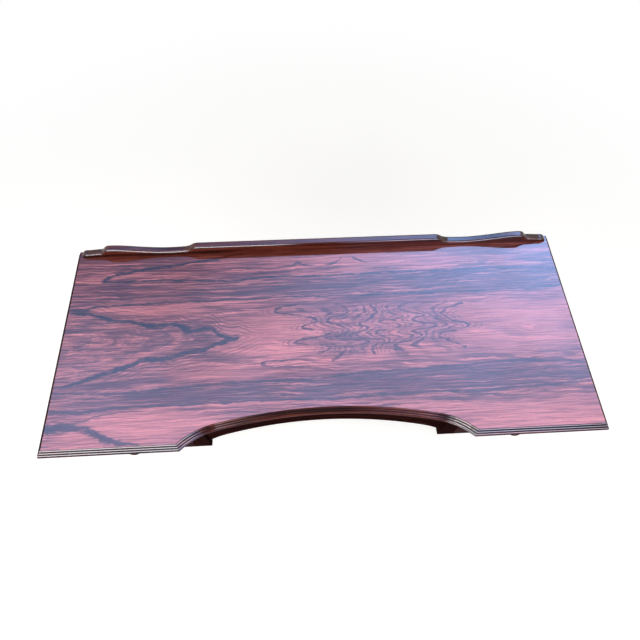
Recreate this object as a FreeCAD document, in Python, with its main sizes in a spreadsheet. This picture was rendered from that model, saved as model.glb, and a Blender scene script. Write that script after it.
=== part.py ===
import FreeCAD, Part
import math
import os

import Sketcher

os.makedirs("parts", exist_ok=True)

# Driving sizes, in millimetres. Distances called setback and overhang are
# measured in plan from the edge of the flat writing surface.
SIZES = {
    "top_width": 1200,
    "top_depth": 498.5,
    "surface_height": 750,
    "veneer_thickness": 1,
    "core_thickness": 19,
    "moulding_flare": 11.5,
    "kneehole_half": 322,
    "kneehole_depth": 65.5,
    "kneehole_radius": 1165,
    "kneehole_end_radius": 176,
    "gallery_height": 27.5,
    "gallery_thickness": 18.5,
    "gallery_round": 4.5,
    "gallery_end_gap": 5,
    "case_height": 177,
    "apron_height": 148,
    "case_setback": 38,
    "end_overhang": 25,
    "back_overhang": 12,
    "end_thickness": 18,
    "back_thickness": 14,
    "bay_inset": 1,
    "partition_thickness": 18,
    "post_width": 38,
    "post_depth": 42,
    "apron_setback": 20,
    "apron_thickness": 20,
    "bead_size": 7,
    "rail_thickness": 16,
    "rail_depth": 36,
    "dust_board": 8,
    "runner_width": 20,
    "stop_height": 5,
    "stop_width": 24,
    "glue_block": 26,
    "side_gap": 1.2,
    "slide_gap": 0.4,
    "top_gap": 2,
    "fit_gap": 0.05,
    "front_thickness": 19,
    "drawer_back_gap": 40.5,
    "wall_thickness": 10,
    "bottom_thickness": 5,
    "bottom_lift": 9,
    "knob_diameter": 36,
    "knob_projection": 35,
    "spigot_diameter": 12,
    "dowel_diameter": 8,
    "screw_diameter": 4,
    "trestle_inset": 100,
    "foot_width": 88,
    "foot_height": 62,
    "foot_setback": 172,
    "foot_back_setback": 5,
    "foot_pad": 10,
    "pad_inset": 4,
    "yoke_setback": 72,
    "yoke_width": 64,
    "yoke_thickness": 34,
    "column_diameter": 56,
    "front_column_setback": 226,
    "back_column_setback": 64.5,
    "tenon_diameter": 22,
    "tenon_length": 22,
    "block_width": 60,
    "block_height": 96,
    "stretcher_diameter": 42,
}

doc = FreeCAD.newDocument("KneeholeDesk")
sheet = doc.addObject("Spreadsheet::Sheet", "Dims")
for row, (alias, number) in enumerate(SIZES.items(), 1):
    sheet.set("A%d" % row, alias)
    sheet.set("B%d" % row, str(number))
    sheet.setAlias("B%d" % row, alias)
doc.recompute()


class Dim:
    """A length that carries its present value and the sheet expression it comes from."""

    def __init__(self, value, text):
        self.value = float(value)
        self.text = text

    def __add__(self, other):
        other = dim(other)
        return Dim(self.value + other.value, "(%s + %s)" % (self.text, other.text))

    def __sub__(self, other):
        other = dim(other)
        return Dim(self.value - other.value, "(%s - %s)" % (self.text, other.text))

    def __mul__(self, factor):
        return Dim(self.value * factor, "(%s * %r)" % (self.text, factor))

    def __neg__(self):
        return self * -1.0


def dim(number):
    if isinstance(number, Dim):
        return number
    return Dim(number, "(%r mm)" % float(number))


def cell(alias):
    return Dim(sheet.get(alias), "Dims.%s * 1 mm" % alias)


S = {alias: cell(alias) for alias in SIZES}

# Levels and planes shared by the pieces; the row's origin is under the middle of the desk.
FRONT = (S["moulding_flare"] - S["top_depth"]) * 0.5
BACK = FRONT + S["top_depth"]
SIDE = S["top_width"] * 0.5
SURFACE = S["surface_height"]
VENEER_UNDER = SURFACE - S["veneer_thickness"]
UNDER = VENEER_UNDER - S["core_thickness"]
CASE_BOTTOM = UNDER - S["case_height"]
CASE_FRONT = FRONT + S["case_setback"]
CASE_BACK = BACK - S["back_overhang"]
INSIDE_BACK = CASE_BACK - S["back_thickness"]
END_OUT = SIDE - S["end_overhang"]
END_IN = END_OUT - S["end_thickness"]
BAY_IN = S["kneehole_half"] - S["bay_inset"]
BAY_FLOOR = CASE_BOTTOM + S["rail_thickness"]
BAY_ROOF = UNDER - S["rail_thickness"]
RAIL_BACK = CASE_FRONT + S["rail_depth"]
POST_IN = BAY_IN - S["post_width"]
POST_BACK = CASE_FRONT + S["post_depth"]
YOKE_BOTTOM = CASE_BOTTOM - S["yoke_thickness"]
TRESTLE = END_OUT - S["trestle_inset"]
ZERO = dim(0.0)

NODES = {}


def keep(name, obj):
    obj.Label = name
    NODES[name] = obj
    return obj


def bind_base(obj, x, y, z):
    obj.setExpression("Placement.Base.x", x.text)
    obj.setExpression("Placement.Base.y", y.text)
    obj.setExpression("Placement.Base.z", z.text)


def block(name, x, y, z):
    """Rectangular piece between pairs of Dims."""
    obj = doc.addObject("Part::Box", name)
    obj.setExpression("Length", (x[1] - x[0]).text)
    obj.setExpression("Width", (y[1] - y[0]).text)
    obj.setExpression("Height", (z[1] - z[0]).text)
    bind_base(obj, x[0], y[0], z[0])
    return obj


def side_pair(side, near, far):
    """Span from near to far measured outward from the middle, for side +1 or -1."""
    if side > 0:
        return (near, far)
    return (-far, -near)


def rod(name, radius, height, x, y, z, turn=None):
    """Cylinder standing on (x, y, z), along Z or along the turned axis."""
    obj = doc.addObject("Part::Cylinder", name)
    obj.setExpression("Radius", radius.text)
    obj.setExpression("Height", height.text)
    if turn is not None:
        obj.Placement = FreeCAD.Placement(FreeCAD.Vector(), turn)
    bind_base(obj, x, y, z)
    return obj


def group(name, members):
    obj = doc.addObject("Part::Compound", name)
    obj.Links = members
    return obj


def cut(name, base, tools):
    """Base piece with the tool shapes taken out of it."""
    obj = doc.addObject("Part::Cut", name)
    obj.Base = base
    obj.Tool = tools[0] if len(tools) == 1 else group(name + "_holes", tools)
    return obj


def fixed_shape(name, shape):
    """Piece whose shape comes from Part's own functions and the sheet's values."""
    obj = doc.addObject("Part::Feature", name)
    obj.Shape = shape
    return obj


def origin_plane(body, index):
    return body.Origin.OriginFeatures[3 + index]


XY, XZ, YZ = 0, 1, 2


def profile_sketch(body, name, plane, points):
    """Closed outline through points (u, v) of Dims; an entry (u, v, mu, mv) is reached by an
    arc through (mu, mv). Every point is tied to the sheet."""
    sketch = body.newObject("Sketcher::SketchObject", name)
    sketch.AttachmentSupport = (origin_plane(body, plane), [""])
    sketch.MapMode = "FlatFace"
    count = len(points)
    flat = [FreeCAD.Vector(p[0].value, p[1].value, 0) for p in points]
    for i in range(count):
        start, end = flat[i - 1], flat[i]
        if len(points[i]) == 4:
            mid = FreeCAD.Vector(points[i][2].value, points[i][3].value, 0)
            curve = Part.Arc(start, mid, end)
            geo = sketch.addGeometry(curve)
        else:
            geo = sketch.addGeometry(Part.LineSegment(start, end))
    # An arc drawn clockwise is stored the other way round, so its ends are looked up.
    ends = []
    for i in range(count):
        first = sketch.getPoint(i, 1)
        ends.append((1, 2) if first.distanceToPoint(flat[i - 1]) < 1e-6 else (2, 1))
    for i in range(count):
        follow = (i + 1) % count
        sketch.addConstraint(Sketcher.Constraint("Coincident", i, ends[i][1], follow, ends[follow][0]))
    for i, point in enumerate(points):
        place_point(sketch, i, ends[i][1], point[0], point[1])
        if len(point) == 4:
            mid = FreeCAD.Vector(point[2].value, point[3].value, 0)
            mark = sketch.addGeometry(Part.Point(mid), True)
            sketch.addConstraint(Sketcher.Constraint("PointOnObject", mark, 1, i))
            place_point(sketch, mark, 1, point[2], point[3])
    return sketch


def place_point(sketch, geo, end, u, v):
    for kind, length in (("DistanceX", u), ("DistanceY", v)):
        index = sketch.addConstraint(Sketcher.Constraint(kind, -1, 1, geo, end, length.value))
        sketch.setExpression("Constraints[%d]" % index, length.text)


def pad_body(name, plane, points, length):
    """Outline padded along the plane's normal."""
    body = doc.addObject("PartDesign::Body", name + "_body")
    sketch = profile_sketch(body, name + "_outline", plane, points)
    pad = body.newObject("PartDesign::Pad", name + "_pad")
    pad.Profile = sketch
    pad.setExpression("Length", length.text)
    return body


def turned_body(name, plane, axis, points):
    """Outline turned about the sketch axis it touches."""
    body = doc.addObject("PartDesign::Body", name + "_body")
    sketch = profile_sketch(body, name + "_outline", plane, points)
    turn = body.newObject("PartDesign::Revolution", name + "_turning")
    turn.Profile = sketch
    turn.ReferenceAxis = (sketch, [axis])
    turn.Angle = 360.0
    return body


def move_body(body, x, y, z, turn=None):
    if turn is not None:
        body.Placement = FreeCAD.Placement(FreeCAD.Vector(), turn)
    bind_base(body, x, y, z)


# Kneehole line: a long middle arc and two tighter end arcs, tangent to each other.
# Pieces that follow it use the same centres with their own offset.
HALF = S["kneehole_half"].value
MID_R = S["kneehole_radius"].value
END_R = S["kneehole_end_radius"].value
APEX = S["kneehole_depth"].value
FRONT_Y = FRONT.value


def kneehole_centres():
    arm = MID_R - END_R
    reach = math.hypot(HALF, MID_R - APEX)
    swing = math.acos((arm * arm + reach * reach - END_R * END_R) / (2 * arm * reach))
    tangent = math.atan2(HALF, MID_R - APEX) - swing
    middle = FreeCAD.Vector(0, FRONT_Y + APEX - MID_R, 0)
    end = middle + FreeCAD.Vector(arm * math.sin(tangent), arm * math.cos(tangent), 0)
    corner = math.asin((HALF - end.x) / END_R)
    return middle, end, tangent, corner


MID_C, END_C, TANGENT, CORNER = kneehole_centres()


def sweep_kneehole(profile, extra_angle):
    """Sweep a profile of (offset, z) edges along the kneehole line; offset is positive into
    the desk. The ends run past the corners by extra_angle."""
    pieces = []
    for centre, radius, first, last in (
        (MID_C, MID_R, -TANGENT, TANGENT),
        (END_C, END_R, TANGENT, CORNER + extra_angle),
        (FreeCAD.Vector(-END_C.x, END_C.y, 0), END_R, -CORNER - extra_angle, -TANGENT),
    ):
        wire = profile(radius)
        wire.rotate(FreeCAD.Vector(), FreeCAD.Vector(0, 0, 1), -math.degrees(last))
        wire.translate(centre)
        face = Part.Face(wire)
        pieces.append(face.revolve(centre, FreeCAD.Vector(0, 0, 1), math.degrees(last - first)))
    return pieces[0].fuse(pieces[1:]).removeSplitter()


def ring_profile(near, far, low, high):
    """Rectangular section between two offsets from the kneehole line."""
    def wire(radius):
        corners = [(radius + near, low), (radius + far, low), (radius + far, high), (radius + near, high)]
        points = [FreeCAD.Vector(0, r, z) for r, z in corners]
        return Part.makePolygon(points + points[:1])
    return wire


def top_outline(name, low, thickness):
    """Writing-surface outline with its hollow front, padded to a thickness."""
    body = doc.addObject("PartDesign::Body", name + "_body")
    sketch = body.newObject("Sketcher::SketchObject", name + "_outline")
    sketch.AttachmentSupport = (origin_plane(body, XY), [""])
    sketch.MapMode = "FlatFace"
    width, depth = S["top_width"].value, S["top_depth"].value
    tangent_x = MID_R * math.sin(TANGENT)
    tangent_y = MID_C.y - FRONT_Y + MID_R * math.cos(TANGENT)
    half_turn = (CORNER + TANGENT) / 2
    mid_end = FreeCAD.Vector(END_C.x + END_R * math.sin(half_turn),
                             END_C.y - FRONT_Y + END_R * math.cos(half_turn), 0)

    def at(x, y):
        return FreeCAD.Vector(width / 2 + x, y, 0)

    corner_l, corner_r = at(-HALF, 0), at(HALF, 0)
    turn_l, turn_r = at(-tangent_x, tangent_y), at(tangent_x, tangent_y)
    apex = at(0, APEX)
    lines = [
        Part.LineSegment(FreeCAD.Vector(0, 0, 0), corner_l),
        Part.Arc(corner_l, at(-mid_end.x, mid_end.y), turn_l),
        Part.Arc(turn_l, apex, turn_r),
        Part.Arc(turn_r, at(mid_end.x, mid_end.y), corner_r),
        Part.LineSegment(corner_r, at(width / 2, 0)),
        Part.LineSegment(at(width / 2, 0), at(width / 2, depth)),
        Part.LineSegment(at(width / 2, depth), at(-width / 2, depth)),
        Part.LineSegment(at(-width / 2, depth), FreeCAD.Vector(0, 0, 0)),
    ]
    for line in lines:
        sketch.addGeometry(line)
    # Arcs run clockwise here, so they are stored from right to left.
    start, end = 1, 2
    join = [(0, end, 1, end), (3, start, 4, start), (4, end, 5, start), (5, end, 6, start),
            (6, end, 7, start), (7, end, 0, start)]
    for a, a_end, b, b_end in join:
        sketch.addConstraint(Sketcher.Constraint("Coincident", a, a_end, b, b_end))
    sketch.addConstraint(Sketcher.Constraint("Tangent", 1, start, 2, end))
    sketch.addConstraint(Sketcher.Constraint("Tangent", 2, start, 3, end))
    sketch.addConstraint(Sketcher.Constraint("Equal", 1, 3))
    sketch.addConstraint(Sketcher.Constraint("Horizontal", 2, start, 2, end))
    for arc, radius in ((1, S["kneehole_end_radius"]), (2, S["kneehole_radius"])):
        index = sketch.addConstraint(Sketcher.Constraint("Radius", arc, radius.value))
        sketch.setExpression("Constraints[%d]" % index, radius.text)
    mark = sketch.addGeometry(Part.Point(apex), True)
    sketch.addConstraint(Sketcher.Constraint("PointOnObject", mark, 1, 2))
    place_point(sketch, mark, 1, SIDE, S["kneehole_depth"])
    place_point(sketch, 0, end, SIDE - S["kneehole_half"], ZERO)
    place_point(sketch, 4, start, SIDE + S["kneehole_half"], ZERO)
    place_point(sketch, 0, start, ZERO, ZERO)
    place_point(sketch, 5, start, S["top_width"], ZERO)
    place_point(sketch, 5, end, S["top_width"], S["top_depth"])
    place_point(sketch, 6, end, ZERO, S["top_depth"])
    pad = body.newObject("PartDesign::Pad", name + "_pad")
    pad.Profile = sketch
    pad.setExpression("Length", thickness.text)
    move_body(body, -SIDE, FRONT, low)
    return body


# Top: core, veneer, gallery and the pins that hold the gallery.
DOWEL_X = [SIDE * f for f in (-0.85, -0.42, 0.0, 0.42, 0.85)]
GALLERY_Y = BACK - S["gallery_thickness"] * 0.5
DOWEL_LOW = VENEER_UNDER - 12
DOWEL_HALF = S["dowel_diameter"] * 0.5


def dowels(name, radius, low, high):
    return [rod("%s_%d" % (name, i), radius, high - low, x, GALLERY_Y, low)
            for i, x in enumerate(DOWEL_X)]


KICKER_MID = S["runner_width"] * 0.68
SCREW_SPOTS = []
for side in (-1, 1):
    for distance in (BAY_IN + KICKER_MID, END_IN - KICKER_MID):
        for depth in (0.3, 0.75):
            x = distance if side > 0 else -distance
            SCREW_SPOTS.append((side, x, RAIL_BACK + (INSIDE_BACK - RAIL_BACK) * depth))
SCREW_R = S["screw_diameter"] * 0.5
HEAD_H = S["screw_diameter"] * 0.75
SCREW_SEAT = BAY_ROOF + HEAD_H + 0.4
SCREW_TOP = UNDER + S["core_thickness"] * 0.65


def screw_rods(name, radius, low, high, spots):
    return [rod("%s_%d" % (name, i), radius, high - low, x, y, low)
            for i, (side, x, y) in enumerate(spots)]


core_holes = dowels("core_dowel_hole", DOWEL_HALF + S["fit_gap"], DOWEL_LOW, SURFACE)
core_holes += screw_rods("core_screw_hole", SCREW_R + S["fit_gap"], UNDER - 1, SCREW_TOP, SCREW_SPOTS)
keep("top_core", cut("top_core", top_outline("core", UNDER, S["core_thickness"]), core_holes))
keep("top_veneer", cut("top_veneer", top_outline("veneer", VENEER_UNDER, S["veneer_thickness"]),
                       dowels("veneer_dowel_hole", DOWEL_HALF + S["fit_gap"], DOWEL_LOW, SURFACE + 5)))


def gallery_shape():
    """Low back rail: a level middle, a swept dip, a raised shoulder and a stepped end."""
    scale = S["gallery_height"].value / 27.5
    end = (SIDE - S["gallery_end_gap"]).value
    base = SURFACE.value

    def at(sign, inward, rise):
        return FreeCAD.Vector(sign * (end - inward * scale), 0, base + rise * scale)

    # Points as (distance in from the rail's end, height above the surface).
    swept = [(292, 27), (285, 25.6), (278, 21.5), (271, 17), (262, 14.2), (245, 12.7), (215, 12),
             (185, 14), (150, 18.5), (117, 24), (91, 27.2), (75, 27.5)]
    stepped = [(75, 27.5), (68, 26.6), (63, 23.6), (59, 19), (55, 15.8), (48, 14.2)]
    end_arc = [(18, 11.2), (5, 8), (0, 0)]
    edges = []
    for sign in (1, -1):
        for run in (swept, stepped):
            spline = Part.BSplineCurve()
            spline.interpolate([at(sign, *point) for point in run])
            edges.append(spline.toShape())
        edges.append(Part.makeLine(at(sign, *stepped[-1]), at(sign, *end_arc[0])))
        edges.append(Part.Arc(*[at(sign, *point) for point in end_arc]).toShape())
    edges.append(Part.makeLine(at(-1, *swept[0]), at(1, *swept[0])))
    edges.append(Part.makeLine(at(-1, *end_arc[-1]), at(1, *end_arc[-1])))
    wire = Part.Wire(Part.__sortEdges__(edges))
    thick = S["gallery_thickness"].value
    wire.translate(FreeCAD.Vector(0, BACK.value - thick, 0))
    blank = Part.Face(wire).extrude(FreeCAD.Vector(0, thick, 0))
    # Both long upper edges are rounded over; edges across the rail and along its base stay.
    long_edges = [edge for edge in blank.Edges
                  if edge.BoundBox.YLength < 0.01 and edge.BoundBox.ZMax > base + 0.01]
    return blank.makeFillet(S["gallery_round"].value, long_edges)


gallery_blank = fixed_shape("gallery_blank", gallery_shape())
DOWEL_HIGH = SURFACE + S["gallery_height"] * 0.45
keep("gallery_rail", cut("gallery_rail", gallery_blank,
                         dowels("rail_dowel_hole", DOWEL_HALF + S["fit_gap"], SURFACE - 5, DOWEL_HIGH + 0.2)))
keep("gallery_dowels", group("gallery_dowels", dowels("gallery_dowel", DOWEL_HALF, DOWEL_LOW, DOWEL_HIGH)))


# Reeded edge moulding, mitred at the outer corners and at the kneehole corners.
def reed_edges(to_point):
    """Section of the edge moulding as edges; to_point places (outward, below the surface)."""
    flare = S["moulding_flare"].value
    deep = (SURFACE - UNDER).value
    slope_out = 0.955 * flare
    slope_drop = 0.78 * deep
    slope = math.hypot(slope_out, slope_drop)
    across = (slope_drop / slope, -slope_out / slope)
    reeds = 3
    bulge = 0.27 * slope / reeds
    edges = []
    last = (0.0, 0.0)
    for i in range(1, reeds + 1):
        nxt = (slope_out * i / reeds, slope_drop * i / reeds)
        mid = ((last[0] + nxt[0]) / 2 + bulge * across[0], (last[1] + nxt[1]) / 2 + bulge * across[1])
        edges.append(Part.Arc(to_point(*last), to_point(*mid), to_point(*nxt)).toShape())
        last = nxt
    for nxt in ((flare, slope_drop + flare - slope_out), (flare, deep), (0.0, deep), (0.0, 0.0)):
        edges.append(Part.makeLine(to_point(*last), to_point(*nxt)))
        last = nxt
    return Part.Wire(edges)


def half_space(point, inward):
    """Large block filling one side of an upright plane through a point in plan."""
    big = 3000.0
    body = Part.makeBox(big, 2 * big, big)
    body.translate(FreeCAD.Vector(0, -big, 0))
    body.rotate(FreeCAD.Vector(), FreeCAD.Vector(0, 0, 1), math.degrees(math.atan2(inward[1], inward[0])))
    body.translate(FreeCAD.Vector(point[0], point[1], 0))
    return body


MITRE_TILT = CORNER / 2
SURFACE_Z = SURFACE.value


def kneehole_mitre(side, keep_middle):
    """Half space on one side of the mitre at a kneehole corner."""
    toward_middle = (-side * math.cos(MITRE_TILT), math.sin(MITRE_TILT))
    if not keep_middle:
        toward_middle = (-toward_middle[0], -toward_middle[1])
    return half_space((side * HALF, FRONT_Y), toward_middle)


def front_moulding(side):
    spare = 40.0
    near, far = HALF - spare, SIDE.value + spare
    start = side * near
    wire = reed_edges(lambda out, drop: FreeCAD.Vector(start, FRONT_Y - out, SURFACE_Z - drop))
    solid = Part.Face(wire).extrude(FreeCAD.Vector(side * (far - near), 0, 0))
    solid = solid.common(kneehole_mitre(side, False))
    return solid.common(front_of_corner(side))


def front_of_corner(side):
    """Front-piece side of the outer corner's mitre."""
    return half_space((side * SIDE.value, FRONT_Y), (-side * 1.0, -1.0))


def behind_corner(side):
    """End-piece side of the outer corner's mitre."""
    return half_space((side * SIDE.value, FRONT_Y), (side * 1.0, 1.0))


def end_moulding(side):
    spare = 40.0
    wire = reed_edges(lambda out, drop: FreeCAD.Vector(side * (SIDE.value + out), FRONT_Y - spare,
                                                       SURFACE_Z - drop))
    solid = Part.Face(wire).extrude(FreeCAD.Vector(0, S["top_depth"].value + spare, 0))
    return solid.common(behind_corner(side))


def kneehole_moulding():
    solid = sweep_kneehole(
        lambda radius: reed_edges(lambda out, drop: FreeCAD.Vector(0, radius - out, SURFACE_Z - drop)),
        math.radians(9.0))
    return solid.common(kneehole_mitre(-1, True)).common(kneehole_mitre(1, True))


for side, word in ((-1, "left"), (1, "right")):
    keep("moulding_front_" + word, fixed_shape("moulding_front_" + word, front_moulding(side)))
    keep("moulding_end_" + word, fixed_shape("moulding_end_" + word, end_moulding(side)))
keep("moulding_kneehole", fixed_shape("moulding_kneehole", kneehole_moulding()))


# Kneehole apron and its bead follow the kneehole line; the drawer bays hang lower than the apron.
def clip_box(x_half, y_low):
    big = 2000.0
    body = Part.makeBox(2 * x_half, big, big)
    body.translate(FreeCAD.Vector(-x_half, y_low, 0))
    return body


def ring(near, far, low, high):
    return sweep_kneehole(ring_profile(near, far, low, high), math.radians(4.0))


APRON_NEAR = S["apron_setback"].value
APRON_FAR = APRON_NEAR + S["apron_thickness"].value
APRON_LOW = (UNDER - S["apron_height"]).value
apron = ring(APRON_NEAR, APRON_FAR, APRON_LOW, UNDER.value)
apron = apron.common(clip_box(POST_IN.value, CASE_FRONT.value))
keep("kneehole_apron", fixed_shape("kneehole_apron", apron))


def bead_profile(radius):
    """Half-round section standing proud of the apron's lower edge."""
    size = S["bead_size"].value
    edge = radius + APRON_NEAR
    foot = FreeCAD.Vector(0, edge, APRON_LOW)
    head = FreeCAD.Vector(0, edge, APRON_LOW + size)
    nose = FreeCAD.Vector(0, edge - size / 2, APRON_LOW + size / 2)
    return Part.Wire([Part.Arc(foot, nose, head).toShape(), Part.makeLine(head, foot)])


bead = sweep_kneehole(bead_profile, math.radians(4.0))
bead = bead.common(clip_box(POST_IN.value, CASE_FRONT.value))
keep("apron_bead", fixed_shape("apron_bead", bead))


# Frieze case, one set of pieces for each drawer bay.
for side, word in ((-1, "left"), (1, "right")):
    keep("corner_post_" + word, block("corner_post_" + word, side_pair(side, POST_IN, BAY_IN),
                                      (CASE_FRONT, POST_BACK), (CASE_BOTTOM, UNDER)))
    keep("end_panel_" + word, block("end_panel_" + word, side_pair(side, END_IN, END_OUT),
                                    (CASE_FRONT, CASE_BACK), (CASE_BOTTOM, UNDER)))
    keep("partition_" + word, block("partition_" + word,
                                    side_pair(side, BAY_IN - S["partition_thickness"], BAY_IN),
                                    (POST_BACK, INSIDE_BACK), (CASE_BOTTOM, UNDER)))
    bay = side_pair(side, BAY_IN, END_IN)
    keep("lower_rail_" + word, block("lower_rail_" + word, bay, (CASE_FRONT, RAIL_BACK),
                                     (CASE_BOTTOM, BAY_FLOOR)))
    keep("upper_rail_" + word, block("upper_rail_" + word, bay, (CASE_FRONT, RAIL_BACK), (BAY_ROOF, UNDER)))
    keep("dust_board_" + word, block("dust_board_" + word, bay, (RAIL_BACK, INSIDE_BACK),
                                     (CASE_BOTTOM, CASE_BOTTOM + S["dust_board"])))
    inner = side_pair(side, BAY_IN, BAY_IN + S["runner_width"])
    outer = side_pair(side, END_IN - S["runner_width"], END_IN)
    runners = []
    kickers = []
    for place, span in (("inner", inner), ("outer", outer)):
        runners.append(block("runner_%s_%s" % (place, word), span, (RAIL_BACK, INSIDE_BACK),
                             (CASE_BOTTOM + S["dust_board"], BAY_FLOOR)))
        kickers.append(block("kicker_blank_%s_%s" % (place, word), span, (RAIL_BACK, INSIDE_BACK),
                             (BAY_ROOF, UNDER)))
    keep("drawer_runners_" + word, group("drawer_runners_" + word, runners))
    spots = [spot for spot in SCREW_SPOTS if spot[0] == side]
    holes = screw_rods("kicker_hole_" + word, SCREW_R + S["fit_gap"], BAY_ROOF - 1, UNDER + 1, spots)
    holes += screw_rods("kicker_recess_" + word, SCREW_R * 2.2, BAY_ROOF - 1, SCREW_SEAT, spots)
    keep("drawer_kickers_" + word, cut("drawer_kickers_" + word, group("kickers_" + word, kickers), holes))
    stop_front = CASE_FRONT + S["front_thickness"] + S["slide_gap"]
    stops = []
    stop_wide = S["stop_width"]
    for place, at in (("inner", BAY_IN + stop_wide * 2.0), ("outer", END_IN - stop_wide * 3.0)):
        stops.append(block("stop_%s_%s" % (place, word), side_pair(side, at, at + stop_wide),
                           (stop_front, RAIL_BACK), (BAY_FLOOR, BAY_FLOOR + S["stop_height"])))
    keep("drawer_stops_" + word, group("drawer_stops_" + word, stops))

keep("back_panel", block("back_panel", (-END_IN, END_IN), (INSIDE_BACK, CASE_BACK), (CASE_BOTTOM, UNDER)))

shanks = screw_rods("screw_shank", SCREW_R, SCREW_SEAT - 0.5, SCREW_TOP - 1, SCREW_SPOTS)
heads = screw_rods("screw_head", SCREW_R * 2.0, SCREW_SEAT - HEAD_H, SCREW_SEAT, SCREW_SPOTS)
screws = []
for i, (shank, head) in enumerate(zip(shanks, heads)):
    screw = doc.addObject("Part::Fuse", "screw_%d" % i)
    screw.Base = shank
    screw.Tool = head
    screws.append(screw)
keep("top_screws", group("top_screws", screws))

GLUE = S["glue_block"]
glue_blocks = []
for i, fraction in enumerate((-0.6, 0.0, 0.6)):
    middle = (BAY_IN - S["partition_thickness"]) * fraction
    glue_blocks.append(block("glue_block_back_%d" % i, (middle - GLUE * 1.35, middle + GLUE * 1.35),
                             (INSIDE_BACK - GLUE, INSIDE_BACK), (UNDER - GLUE, UNDER)))
for side, word in ((-1, "left"), (1, "right")):
    face = BAY_IN - S["partition_thickness"]
    glue_blocks.append(block("glue_block_" + word, side_pair(side, face - GLUE, face),
                             (POST_BACK + GLUE * 3.5, POST_BACK + GLUE * 6.2), (UNDER - GLUE, UNDER)))
keep("glue_blocks", group("glue_blocks", glue_blocks))

# Drawers: butted boxes behind a solid front with one turned knob each.
FRONT_LOW = BAY_FLOOR + S["slide_gap"] * 2
FRONT_HIGH = BAY_ROOF - S["top_gap"] * 0.5
WALL_LOW = BAY_FLOOR + S["slide_gap"]
WALL_HIGH = BAY_ROOF - S["top_gap"]
BOX_NEAR = BAY_IN + S["side_gap"]
BOX_FAR = END_IN - S["side_gap"]
BOX_FRONT = CASE_FRONT + S["front_thickness"]
BOX_BACK = INSIDE_BACK - S["drawer_back_gap"]
KNOB_X = (BOX_NEAR + BOX_FAR) * 0.5
KNOB_Z = UNDER - S["apron_height"] * 0.5
SPIGOT_R = S["spigot_diameter"] * 0.5
SPIGOT_L = S["front_thickness"] * 0.75


def knob_points():
    """Turned mushroom knob with a glued spigot, as (radius, distance along the axis)."""
    head = S["knob_diameter"] * 0.5
    out = S["knob_projection"]

    def at(r, f):
        return (head * r, SPIGOT_L + out * f)

    return [
        (ZERO, ZERO),
        (SPIGOT_R, ZERO),
        (SPIGOT_R, SPIGOT_L),
        at(0.66, 0.0),
        at(0.66, 0.1),
        at(0.48, 0.3) + at(0.52, 0.2),
        at(0.98, 0.66) + at(0.84, 0.43),
        at(0.2, 1.0) + at(0.7, 0.9),
        (ZERO, SPIGOT_L + out),
    ]


HALF_TURN = FreeCAD.Rotation(FreeCAD.Vector(0, 0, 1), 180)
AXIS_BACK = FreeCAD.Rotation(FreeCAD.Vector(1, 0, 0), -90)

for side, word in ((-1, "left"), (1, "right")):
    name = "drawer_%s_" % word
    span = side_pair(side, BOX_NEAR, BOX_FAR)
    knob_x = KNOB_X if side > 0 else -KNOB_X
    blank = block(name + "front_blank", span, (CASE_FRONT, BOX_FRONT), (FRONT_LOW, FRONT_HIGH))
    hole = rod(name + "knob_hole", SPIGOT_R + S["fit_gap"], SPIGOT_L + 1.2, knob_x, CASE_FRONT - 1, KNOB_Z,
               AXIS_BACK)
    keep(name + "front", cut(name + "front", blank, [hole]))
    inner_wall = side_pair(side, BOX_NEAR, BOX_NEAR + S["wall_thickness"])
    outer_wall = side_pair(side, BOX_FAR - S["wall_thickness"], BOX_FAR)
    for place, wall in (("inner", inner_wall), ("outer", outer_wall)):
        keep(name + place + "_side", block(name + place + "_side", wall, (BOX_FRONT, BOX_BACK),
                                           (WALL_LOW, WALL_HIGH)))
    between = side_pair(side, BOX_NEAR + S["wall_thickness"], BOX_FAR - S["wall_thickness"])
    floor_low = WALL_LOW + S["bottom_lift"]
    floor_high = floor_low + S["bottom_thickness"]
    keep(name + "bottom", block(name + "bottom", between, (BOX_FRONT, BOX_BACK), (floor_low, floor_high)))
    keep(name + "back", block(name + "back", between, (BOX_BACK - S["wall_thickness"], BOX_BACK),
                              (floor_high, WALL_HIGH - 8)))
    knob = turned_body(name + "knob", XY, "V_Axis", knob_points())
    move_body(knob, knob_x, CASE_FRONT + SPIGOT_L, KNOB_Z, HALF_TURN)
    keep(name + "knob", knob)

# Trestle ends: a foot, two turned columns and a yoke under each drawer bay.
TENON_R = S["tenon_diameter"] * 0.5
TENON_L = S["tenon_length"]
FOOT_FRONT = FRONT + S["foot_setback"]
FOOT_LENGTH = BACK - FOOT_FRONT - S["foot_back_setback"]
YOKE_FRONT = FRONT + S["yoke_setback"]
YOKE_LENGTH = CASE_BACK - YOKE_FRONT - 8
FRONT_COL = FRONT + S["front_column_setback"]
BACK_COL = BACK - S["back_column_setback"]
BLOCK_Y = (FRONT_COL + BACK_COL) * 0.5


def foot_points():
    """Sledge foot seen from its end, with rounded upper ends."""
    long, tall = FOOT_LENGTH, S["foot_height"] - S["foot_pad"]
    round_x = tall * 0.5
    bulge = tall * 0.1464
    return [
        (ZERO, ZERO),
        (long, ZERO),
        (long, tall * 0.5),
        (long - round_x, tall, long - bulge, tall * 0.8536),
        (round_x, tall),
        (ZERO, tall * 0.5, bulge, tall * 0.8536),
    ]


def yoke_points():
    """Bearer under the case with rounded lower ends."""
    long, tall = YOKE_LENGTH, S["yoke_thickness"]
    round_x = tall * 0.9
    bulge = tall * 0.36
    return [
        (ZERO, tall),
        (ZERO, tall * 0.6),
        (round_x, ZERO, bulge, tall * 0.165),
        (long - round_x, ZERO),
        (long, tall * 0.6, long - bulge, tall * 0.165),
        (long, tall),
    ]


COLUMN_LENGTH = YOKE_BOTTOM - S["foot_height"]


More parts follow.
